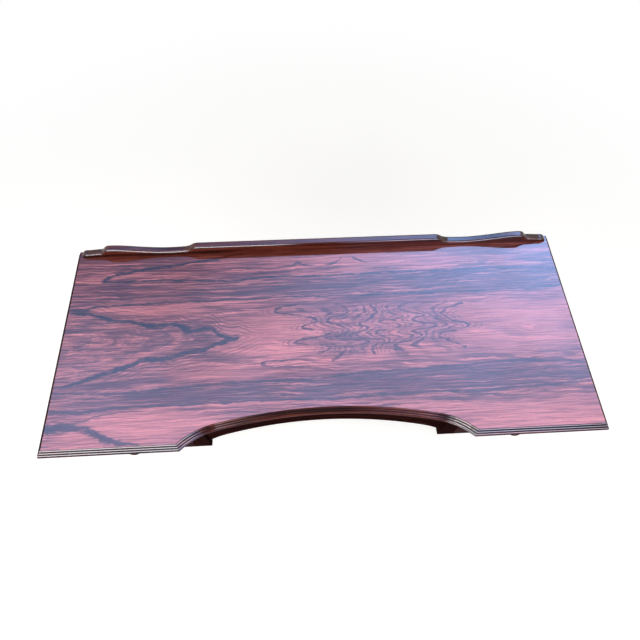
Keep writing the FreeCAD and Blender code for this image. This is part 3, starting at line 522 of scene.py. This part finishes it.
def drawn_line(n, value, points, low, reach):
    """Smooth curve through points of (place, height) in millimetres, read at a place in metres."""
    first, last = points[0][0], points[-1][0]
    node = n.add("ShaderNodeFloatCurve")
    mapping = node.mapping
    mapping.extend = "HORIZONTAL"
    curve = mapping.curves[0]
    spots = [((place - first) / (last - first), (height - low) / reach) for place, height in points]
    for spot, given in zip((curve.points[0], curve.points[1]), (spots[0], spots[-1])):
        spot.location = given
    for spot in spots[1:-1]:
        curve.points.new(*spot)
    mapping.update()
    n.put(node.inputs["Value"], n.span(value, first * MM, last * MM, smooth=False))
    return n.math("MULTIPLY_ADD", node.outputs[0], reach * MM, low * MM)


def level_line(n, field, half):
    """Thin lines where a cloudy field passes its middle value."""
    return n.span(n.math("ABSOLUTE", n.less(field, 0.5)), half, half * 0.3)


def repeated_line(n, field, half):
    """Thin lines wherever a field passes a whole number."""
    return n.span(n.math("PINGPONG", field, 0.5), half, half * 0.35)


def cloud(n, x, y, along, across, **look):
    """Random field with its own scale along and across the grain."""
    return n.noise(n.scaled((x, y), (along, across)), **look)


def figure_lines(n, x, place):
    """Heights of the drawn lines, and one mask of them all."""
    heights = {}
    streaks = 0.0
    for name, (points, dark) in FIGURE_LINES.items():
        heights[name] = drawn_line(n, x, [(at, height) for at, height, _ in points], *FIGURE_REACH)
        width = drawn_line(n, x, [(at, wide) for at, _, wide in points], *WIDTH_REACH)
        line = n.group(shared(streak_group), position=place, height=heights[name], width=width,
                       start=points[0][0] * MM - RUN_OUT, end=points[-1][0] * MM + RUN_OUT)
        streaks = n.math("MAXIMUM", streaks, n.times(line.outputs["Mask"], dark))
    return heights, streaks


def flame_lines(n, x, y, lively):
    """Zigzag lines across the grain with fainter ones beside and between them, and the flame's extent."""
    jitter = n.less(cloud(n, x, y, along=16.0, across=70.0, detail=3.0), 0.5)
    flame_x = n.math("MULTIPLY_ADD", jitter, 0.04, x)
    flame_y = n.math("MULTIPLY_ADD", lively, 0.012, y)
    broken = n.span(cloud(n, x, y, along=14.0, across=46.0, detail=3.0), 0.34, 0.52, 0.35, 1.0)
    rings = 0.0
    fronts = []
    for points in FLAME_FRONTS:
        first, last = points[0][0] * MM, points[-1][0] * MM
        ends = [drawn_line(n, n.math("ADD", flame_y, shift), points, *FLAME_REACH)
                for shift in (-FLAME_HALF, FLAME_HALF)]
        fronts.append(ends[0])
        gap = n.math("MAXIMUM", n.less(n.math("MINIMUM", *ends), flame_x),
                     n.less(flame_x, n.math("MAXIMUM", *ends)))
        front = n.times(n.span(gap, 0.0042, 0.0012), broken)
        beside = n.times(repeated_line(n, n.times(gap, 70.0), 0.22), n.span(gap, 0.045, 0.02),
                         n.span(y, first + 0.004, first + 0.02), n.span(y, last - 0.004, last - 0.02),
                         n.span(gap, 0.005, 0.008), 0.6)
        line = n.times(n.math("MAXIMUM", front, beside), n.span(y, first - 0.006, first),
                       n.span(y, last + 0.006, last))
        rings = n.math("MAXIMUM", rings, line)

    # The flow counts the fronts from the left, with shares between them.
    flow = 0.0
    for left, right in zip(fronts, fronts[1:]):
        room = n.math("MAXIMUM", n.less(right, left), 0.012)
        share = n.span(n.math("DIVIDE", n.less(flame_x, left), room), 0.0, 1.0, smooth=False)
        flow = n.math("ADD", share, flow)
    full = len(fronts) - 1.0
    inside = n.times(n.span(y, -0.075, -0.035), n.span(y, 0.08, 0.06))
    extent = n.times(n.span(flow, 0.0, 1.2), n.span(flow, full, full - 1.9), inside)
    between = n.times(repeated_line(n, n.times(flow, 3.0), 0.25), n.span(flow, 0.0, 0.1),
                      n.span(flow, full, full - 0.1), inside)
    patchy = n.span(cloud(n, x, y, along=12.0, across=60.0, detail=2.0), 0.35, 0.6, 0.3, 0.95)
    return n.math("MAXIMUM", rings, n.times(between, patchy)), extent


def pale_blooms(n, x, y):
    """Strength of the pale blooms at a place."""
    bloom = 0.0
    for (at_x, at_y, wide, tall), strength in PALE_BLOOMS:
        off = n.combine(n.math("MULTIPLY_ADD", x, 1.0 / (wide * MM), -at_x / wide),
                        n.math("MULTIPLY_ADD", y, 1.0 / (tall * MM), -at_y / tall))
        bloom = n.math("MAXIMUM", bloom, n.span(n.length(off), 1.0, 0.25, 0.0, strength))
    return bloom


def figured_veneer():
    """Rosewood veneer of the top: nested arches, a flame, dark streaks and cool bands under polish."""
    finish = bpy.context.scene.desk_finish
    material, n, shader = new_material("figured_veneer")
    place = n.add("ShaderNodeTexCoord").outputs["Object"]
    x, y, _ = n.separate(place)

    # Y of the smooth grain lines, and Y of the drawn lines with hairs along their edges.
    fibre = cloud(n, x, y, along=10.0, across=560.0, detail=4.0, roughness=0.65)
    pore = n.span(cloud(n, x, y, along=60.0, across=1500.0, detail=1.0), 0.62, 0.74)
    hair = n.less(fibre, 0.5)
    slow = n.less(cloud(n, x, y, along=6.0, across=22.0, detail=3.0), 0.5)
    lively = n.less(cloud(n, x, y, along=34.0, across=80.0, detail=3.0), 0.5)
    grain_y = n.math("MULTIPLY_ADD", lively, 0.004, n.math("MULTIPLY_ADD", slow, 0.006, y))
    line_y = n.math("MULTIPLY_ADD", lively, 0.004, n.math("MULTIPLY_ADD", hair, 0.006, grain_y))
    heights, streaks = figure_lines(n, x, n.combine(x, line_y))

    # Nested arches: lines that bend round the middle and run out level to the sides.
    wander = n.math("MULTIPLY_ADD", slow, 0.03, grain_y)
    off_middle = n.less(x, ARCH_MIDDLE)
    bend = n.math("MULTIPLY_ADD", n.times(off_middle, off_middle), 6.0, 1.0)
    arch = n.math("SQRT", n.math("ADD", n.times(wander, wander), n.math("DIVIDE", 0.0081, bend)))
    side = n.math("DIVIDE", wander, n.math("SQRT", n.math("MULTIPLY_ADD", wander, wander, 0.0016)))
    bent = (x, arch, side)
    broad = n.noise(n.scaled(bent, (1.5, 36.0, 0.7)), detail=4.0, roughness=0.55)
    narrow = n.noise(n.scaled(bent, (2.5, 190.0, 0.7)), detail=5.0, roughness=0.62)
    ring_field = n.noise(n.scaled(bent, (1.6, 22.0, 0.7)), detail=3.0, roughness=0.5)
    nested = repeated_line(n, n.times(ring_field, 6.5), 0.2)

    # Lines wrapped round the arrow, and combed lines along the bands.
    beyond = n.math("MAXIMUM", n.less(x, ARROW_TIP), 0.0)
    outside = n.math("MAXIMUM", n.less(grain_y, heights["arrow_upper"]),
                     n.less(heights["arrow_lower"], grain_y))
    wrap = n.math("MULTIPLY_ADD", slow, 0.02, n.math("MULTIPLY_ADD", beyond, 0.42, outside))
    wrapped = n.times(n.span(wrap, 0.004, 0.01), n.span(wrap, 0.075, 0.03), n.span(x, -0.13, -0.19),
                      repeated_line(n, n.times(wrap, 105.0), 0.24))
    straight = cloud(n, x, grain_y, along=3.0, across=150.0, detail=4.0, roughness=0.6)
    combed = repeated_line(n, n.math("MULTIPLY_ADD", slow, 3.0, n.times(grain_y, 115.0)), 0.24)
    combed = n.times(combed, n.span(straight, 0.35, 0.6))

    # Body of the wood: rose and brown with pale blooms, then dark veins where it is not clear.
    rose = Vector(finish.veneer_rose)
    brown = Vector(finish.veneer_brown)
    pale = rose * 1.4
    deep = brown * 0.3
    flames, flame_extent = flame_lines(n, x, y, lively)
    bloom = n.times(pale_blooms(n, x, line_y), n.span(flame_extent, 0.0, 1.0, 1.0, 0.85))
    clear = n.span(bloom, 0.0, 0.6, 1.0, 0.2)
    crowd = n.span(cloud(n, x, y, along=3.0, across=16.0, detail=2.0), 0.35, 0.65, 0.35, 1.0)
    veins = n.math("MAXIMUM", level_line(n, narrow, 0.030), n.times(level_line(n, straight, 0.028), 0.8))
    colour = n.mix(n.span(broad, 0.36, 0.56), brown, rose)
    colour = n.mix(bloom, colour, rose * 1.2)
    colour = n.tint(colour, deep, n.span(narrow, 0.46, 0.38), clear, 0.6)
    colour = n.tint(colour, pale, n.span(narrow, 0.54, 0.62), 0.8)
    colour = n.tint(colour, deep, veins, crowd, clear, 0.6)
    colour = n.tint(colour, deep, n.math("MAXIMUM", n.times(nested, clear), wrapped), crowd, 0.75)
    colour = n.tint(colour, deep, n.span(straight, 0.45, 0.37), clear, 0.55)
    colour = n.tint(colour, brown * 0.2, flames, 0.95)

    # Mottled wood inside the arrow, and the cool bands between pairs of lines.
    mottle = cloud(n, x, y, along=16.0, across=95.0, detail=5.0, roughness=0.7, distortion=0.8)
    within = n.times(n.span(n.less(heights["arrow_upper"], line_y), 0.0, 0.02),
                     n.span(n.less(line_y, heights["arrow_lower"]), 0.0, 0.02), n.span(x, -0.2, -0.24))
    colour = n.tint(colour, finish.veneer_haze, n.span(mottle, 0.42, 0.60), within, 0.75)
    band_noise = n.math("MAXIMUM", n.span(straight, 0.54, 0.44, 0.2, 0.85), n.times(combed, 0.9))
    for lower, upper in (("upper_line", "back_line"), ("front_line", "lower_line")):
        band = n.times(n.span(n.less(line_y, heights[lower]), -0.006, 0.008),
                       n.span(n.less(heights[upper], line_y), -0.006, 0.008),
                       n.span(x, -0.8, 0.2, 0.2, 0.95))
        colour = n.tint(colour, finish.veneer_haze, band, band_noise)
        colour = n.tint(colour, finish.veneer_streak, band, combed, 0.9)

    # Fine strokes, the drawn lines, pores, and a painted reflection and shade of the back rail along its foot.
    stroke = cloud(n, x, grain_y, along=9.0, across=370.0, detail=1.0)
    bold = n.span(clear, 0.2, 1.0, 0.4, 0.7)
    colour = n.tint(colour, deep, n.span(stroke, 0.51, 0.61), bold)
    colour = n.tint(colour, pale, n.span(stroke, 0.45, 0.35), bold, 0.3)
    colour = n.mix(streaks, colour, finish.veneer_streak)
    colour = n.tint(colour, deep, n.span(fibre, 0.52, 0.3), 0.45)
    colour = n.tint(colour, finish.veneer_streak, pore, 0.45)
    # Painted reflection and shade: a brown strip on the veneer along the foot of the back rail.
    rail_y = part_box("gallery_rail")[0].y
    foot = n.span(y, rail_y - 0.026, rail_y - 0.012, 0.0, 0.75)
    colour = n.mix(foot, colour, Vector(finish.rail_brown) * 0.6)
    n.put(shader.inputs["Base Color"], colour)

    dull = n.group(shared(handling_group), position=place, scuff=0.4).outputs["Dull"]
    n.put(shader.inputs["Roughness"], n.span(dull, 0.0, 1.0, 0.25, 0.42, smooth=False))
    n.put(shader.inputs["Coat Weight"], n.span(dull, 0.0, 1.0, 1.0, 0.8, smooth=False))
    shader.inputs["Specular IOR Level"].default_value = 0.0
    shader.inputs["Coat Roughness"].default_value = 0.06
    shader.inputs["Coat IOR"].default_value = 1.65
    bump(n, shader, n.less(n.times(fibre, 0.25), pore), 0.06, 0.0003)
    return material


WELD_REACH = 0.00001
ARRIS_ANGLE = math.radians(40)


def clothe(names, material, arris=0.0):
    """Give CAD nodes a finish and, where asked, a softened arris."""
    for name in names:
        node = NODE[name]
        for entry in node.material_slots:
            entry.material = material
        if arris:
            weld = node.modifiers.new("weld", "WELD")
            weld.merge_threshold = WELD_REACH
            bevel = node.modifiers.new("arris", "BEVEL")
            bevel.width = arris
            bevel.segments = 3
            bevel.limit_method = "ANGLE"
            bevel.angle_limit = ARRIS_ANGLE
            bevel.harden_normals = True


def both(*stems):
    """Names of the left and right pieces of each stem."""
    return [stem % side for stem in stems for side in SIDES]


class DESK_OT_top(bpy.types.Operator):
    """Lay the figured veneer and the core under it"""
    bl_idname = "desk.top"
    bl_label = "Top"

    def execute(self, context):
        clothe(["top_veneer"], figured_veneer())
        clothe(["top_core"], lining_wood("pine", "X", stained=True))
        return {"FINISHED"}


class DESK_OT_mouldings(bpy.types.Operator):
    """Finish the reeded edges, the back rail and its pins"""
    bl_idname = "desk.mouldings"
    bl_label = "Mouldings and back rail"

    def execute(self, context):
        clothe(both("moulding_front_%s") + ["moulding_kneehole"], rosewood("X", "bright"))
        clothe(both("moulding_end_%s"), rosewood("Y"))
        clothe(["gallery_rail"], rosewood("X", "rail"))
        clothe(["gallery_dowels"], lining_wood("pine", "Z"))
        return {"FINISHED"}


class DESK_OT_case(bpy.types.Operator):
    """Finish the frieze case and its inner frame"""
    bl_idname = "desk.case"
    bl_label = "Frieze case"

    def execute(self, context):
        arris = context.scene.desk_finish.arris
        clothe(both("upper_rail_%s", "lower_rail_%s") + ["back_panel"], rosewood("X"), arris * 0.6)
        # The dull finish's dark body tone on the apron, its bead and the corner posts is painted shade under
        # the top.
        clothe(["kneehole_apron"], rosewood("X", "dull"), arris * 0.6)
        clothe(["apron_bead"], rosewood("X", "dull"))
        clothe(both("end_panel_%s"), rosewood("Y"), arris)
        clothe(both("corner_post_%s"), rosewood("Z", "dull"), arris * 0.6)
        clothe(both("partition_%s", "dust_board_%s", "drawer_runners_%s", "drawer_kickers_%s"),
               lining_wood("pine", "Y"), arris * 0.4)
        clothe(both("drawer_stops_%s") + ["glue_blocks"], lining_wood("pine", "X"), arris * 0.6)
        clothe(["top_screws"], screw_steel())
        return {"FINISHED"}


class DESK_OT_drawers(bpy.types.Operator):
    """Finish the two drawers and their knobs"""
    bl_idname = "desk.drawers"
    bl_label = "Drawers"

    def execute(self, context):
        arris = context.scene.desk_finish.arris
        clothe(both("drawer_%s_front"), rosewood("X"), arris)
        clothe(both("drawer_%s_knob"), rosewood("Y"))
        clothe(both("drawer_%s_inner_side", "drawer_%s_outer_side"),
               lining_wood("oak", "Y", fleck=True), arris)
        clothe(both("drawer_%s_back", "drawer_%s_bottom"),
               lining_wood("oak", "X", fleck=True), arris * 0.6)
        return {"FINISHED"}


class DESK_OT_base(bpy.types.Operator):
    """Finish the feet, columns, yokes and stretcher"""
    bl_idname = "desk.base"
    bl_label = "Base"

    def execute(self, context):
        arris = context.scene.desk_finish.arris
        clothe(both("foot_%s", "yoke_%s"), rosewood("Y"), arris * 2.0)
        clothe(both("foot_pads_%s"), rosewood("Y"), arris)
        clothe(both("column_front_%s", "column_back_%s"), rosewood("Z"))
        clothe(both("stretcher_block_%s"), rosewood("Z"), arris * 1.5)
        clothe(["stretcher"], rosewood("X"))
        return {"FINISHED"}


def panel_lamp(name, place, target, size, power):
    """A soft rectangular panel lamp aimed at a point."""
    data = bpy.data.lights.new(name, "AREA")
    data.shape = "RECTANGLE"
    data.size, data.size_y = size
    data.energy = power
    lamp = bpy.data.objects.new(name, data)
    bpy.context.scene.collection.objects.link(lamp)
    lamp.location = place
    lamp.rotation_euler = (Vector(target) - Vector(place)).to_track_quat("-Z", "Y").to_euler()
    return lamp


def sheet(name, corners, faces):
    """A thin object of the stage, linked to the scene."""
    mesh = bpy.data.meshes.new(name)
    mesh.from_pydata(corners, [], faces)
    item = bpy.data.objects.new(name, mesh)
    bpy.context.scene.collection.objects.link(item)
    return item


class DESK_OT_stage(bpy.types.Operator):
    """Set up the floor, the soft studio light and the camera"""
    bl_idname = "desk.stage"
    bl_label = "Stage"

    def execute(self, context):
        stage = context.scene.desk_stage
        self.floor(stage)
        self.world(context, stage)
        self.sky_card(stage)
        self.room_card(stage)
        target = (0.0, -0.2, 0.75)
        for name, place, size, power in (("front_panel", (-0.75, -3.2, 2.7), (4.5, 1.2), stage.front),
                                         ("key_panel", (0.1, -1.1, 3.9), (2.6, 1.4), stage.key)):
            panel_lamp(name, place, target, size, power).visible_glossy = False
        self.camera(context, stage)
        context.scene.view_settings.view_transform = "Standard"
        return {"FINISHED"}

    def card(self, name, rows, shade):
        """A glowing card, bent along its rows, that only the polish sees.

        The shade gives the card's colour and cover at a place.
        """
        corners = [corner for low_x, high_x, y, z in rows for corner in ((low_x, y, z), (high_x, y, z))]
        card = sheet(name, corners, [(i, i + 1, i + 3, i + 2) for i in range(0, len(corners) - 2, 2)])
        for ray in ("camera", "diffuse", "transmission", "volume_scatter", "shadow"):
            setattr(card, "visible_" + ray, False)
        material, n, shader = new_material(name)
        n.tree.nodes.remove(shader)
        colour, cover = shade(n, *n.separate(n.add("ShaderNodeTexCoord").outputs["Object"]))
        glow = n.add("ShaderNodeEmission")
        n.put(glow.inputs["Color"], colour)
        n.lead_out(n.blend(cover, n.add("ShaderNodeBsdfTransparent").outputs[0], glow.outputs[0]))
        card.data.materials.append(material)

    def sky_card(self, stage):
        """Overcast sky over the back, brighter to the right, for the top to mirror."""
        low_x, high_x, low_y, high_y, high = -4.9, 5.4, 0.4, 5.6, 6.75
        front_left, front_right = Vector((2.0, 2.55, 4.7)), Vector((2.4, 2.85, 5.2))
        back_left, back_right = Vector((0.45, 0.72, 1.5)), Vector((3.6, 5.8, 11.4))

        def shade(n, x, y, z):
            along = n.span(x, -2.6, high_x - 0.6)
            front = n.mix(along, front_left * stage.sky, front_right * stage.sky)
            back = n.mix(along, back_left * stage.sky, back_right * stage.sky)
            cover = n.times(n.span(x, low_x, low_x + 1.0), n.span(x, high_x, high_x - 1.0),
                            n.span(y, low_y, low_y + 0.6), n.span(y, high_y, high_y - 0.6))
            return n.mix(n.span(y, low_y + 0.8, high_y - 0.8), front, back), cover

        self.card("sky_card", [(low_x, high_x, low_y, high), (low_x, high_x, high_y, high)], shade)

    def room_card(self, stage):
        """Dark room before the desk, with windows that the edges mirror."""
        wide, low, high, wall, near, far = 5.5, 0.02, 7.0, -3.0, 0.3, 0.6
        dark = (0.2, 0.17, 0.22)
        white = Vector((18.0, 18.4, 20.0)) * stage.sky
        blue = Vector((5.0, 5.4, 9.2)) * stage.sky

        def shade(n, x, y, z):
            def pane(left, right, soft, sill, head):
                return n.times(n.span(x, left, n.math("ADD", left, soft)),
                               n.span(x, right, n.less(right, soft)),
                               n.span(z, sill, sill + 0.4), n.span(z, head, head - 0.5))

            outer = n.math("MULTIPLY_ADD", z, 0.2, 2.4)
            colour = n.mix(pane(0.3, outer, 0.5, 1.4, 7.0), dark, blue)
            colour = n.mix(pane(0.7, 4.9, 0.4, 2.2, 3.4), colour, white * 1.3)
            colour = n.mix(pane(-4.9, -2.4, 0.4, 2.2, 3.6), colour, white * 1.3)
            colour = n.mix(pane(n.times(outer, -1.0), 0.02, 0.4, 1.4, 4.7), colour, white)
            colour = n.tint(colour, white * 0.25, n.span(x, -1.2, -1.8), n.span(y, wall + 0.5, wall + 1.2),
                            n.span(z, high - 0.2, high - 0.1))
            cover = n.times(n.span(n.math("ABSOLUTE", x), wide, wide - 1.0),
                            n.math("MAXIMUM", n.span(z, 0.1, 0.2), n.span(y, near, near - 0.2)),
                            n.span(y, far, far - 0.4))
            return colour, cover

        rows = [(-wide, wide, y, z) for y, z in ((near, low), (wall, low), (wall, high), (far, high))]
        self.card("room_card", rows, shade)

    def floor(self, stage):
        """A pale floor that keeps the shadow and runs out into white."""
        half, drop = 30.0, 0.0005
        floor = sheet("floor", [(-half, -half, 0), (half, -half, 0), (half, half, 0), (-half, half, 0)],
                      [(0, 1, 2, 3)])
        floor.location.z = -drop
        material, n, shader = new_material("studio_floor")
        place = n.add("ShaderNodeTexCoord").outputs["Object"]
        patchy = n.span(n.noise(place, scale=2.0), 0.3, 0.7, 0.98, 1.0)
        colour = n.mix(1.0, stage.floor_colour, n.combine(patchy, patchy, patchy), blend="MULTIPLY")
        n.put(shader.inputs["Base Color"], colour)
        shader.inputs["Roughness"].default_value = 0.9
        shader.inputs["Specular IOR Level"].default_value = 0.0
        path = n.add("ShaderNodeLightPath").outputs
        far = n.times(n.span(n.length(place), 0.9, 2.6),
                      n.math("MAXIMUM", path["Is Camera Ray"], path["Is Glossy Ray"]))
        lift = n.add("ShaderNodeEmission")
        n.put(lift.inputs["Strength"], n.times(path["Is Camera Ray"], 0.5))
        lifted = n.add("ShaderNodeAddShader")
        n.put(lifted.inputs[0], shader.outputs[0])
        n.put(lifted.inputs[1], lift.outputs[0])
        n.lead_out(n.blend(far, lifted.outputs[0], n.add("ShaderNodeEmission").outputs[0]))
        floor.data.materials.append(material)

    def world(self, context, stage):
        """Even light from all round, on a white that the eye and the polish see."""
        world = bpy.data.worlds.new("studio")
        context.scene.world = world
        world.use_nodes = True
        world.node_tree.nodes.clear()
        n = Nodes(world.node_tree)
        path = n.add("ShaderNodeLightPath").outputs
        seen = n.math("MAXIMUM", path["Is Camera Ray"],
                      n.math("MAXIMUM", path["Is Glossy Ray"], path["Is Transmission Ray"]))
        ambient = n.add("ShaderNodeBackground")
        ambient.inputs["Color"].default_value = (1.0, 0.97, 0.94, 1.0)
        ambient.inputs["Strength"].default_value = stage.ambient
        white = n.add("ShaderNodeBackground")
        white.inputs["Color"].default_value = (1.0, 1.0, 1.0, 1.0)
        shown = n.blend(seen, ambient.outputs[0], white.outputs[0])
        n.put(n.add("ShaderNodeOutputWorld").inputs["Surface"], shown)

    def camera(self, context, stage):
        """Camera standing before the desk, looking steeply down."""
        data = bpy.data.cameras.new("camera")
        data.lens = stage.lens
        data.sensor_width = SENSOR_WIDTH
        camera = bpy.data.objects.new("camera", data)
        context.scene.collection.objects.link(camera)
        camera.location = CAMERA_PLACE
        camera.rotation_euler = [math.radians(angle) for angle in CAMERA_TURNS]
        context.scene.camera = camera


OPERATORS = (DESK_OT_top, DESK_OT_mouldings, DESK_OT_case, DESK_OT_drawers, DESK_OT_base, DESK_OT_stage)


class DESK_PT_sidebar(bpy.types.Panel):
    """Desk tools in the sidebar"""
    bl_idname = "DESK_PT_sidebar"
    bl_label = "Kneehole desk"
    bl_space_type = "VIEW_3D"
    bl_region_type = "UI"
    bl_category = "Desk"

    def draw(self, context):
        for operator in OPERATORS:
            self.layout.operator(operator.bl_idname)
        for group in (context.scene.desk_finish, context.scene.desk_stage):
            box = self.layout.box()
            for key in group.__annotations__:
                box.prop(group, key)


CLASSES = (DeskFinish, DeskStage, *OPERATORS, DESK_PT_sidebar)


def register():
    for item in CLASSES:
        bpy.utils.register_class(item)
    bpy.types.Scene.desk_finish = PointerProperty(type=DeskFinish)
    bpy.types.Scene.desk_stage = PointerProperty(type=DeskStage)


def unregister():
    del bpy.types.Scene.desk_stage
    del bpy.types.Scene.desk_finish
    for item in reversed(CLASSES):
        bpy.utils.unregister_class(item)


def main():
    register()
    bpy.ops.desk.top()
    bpy.ops.desk.mouldings()
    bpy.ops.desk.case()
    bpy.ops.desk.drawers()
    bpy.ops.desk.base()
    bpy.ops.desk.stage()


if __name__ == "__main__":
    main()
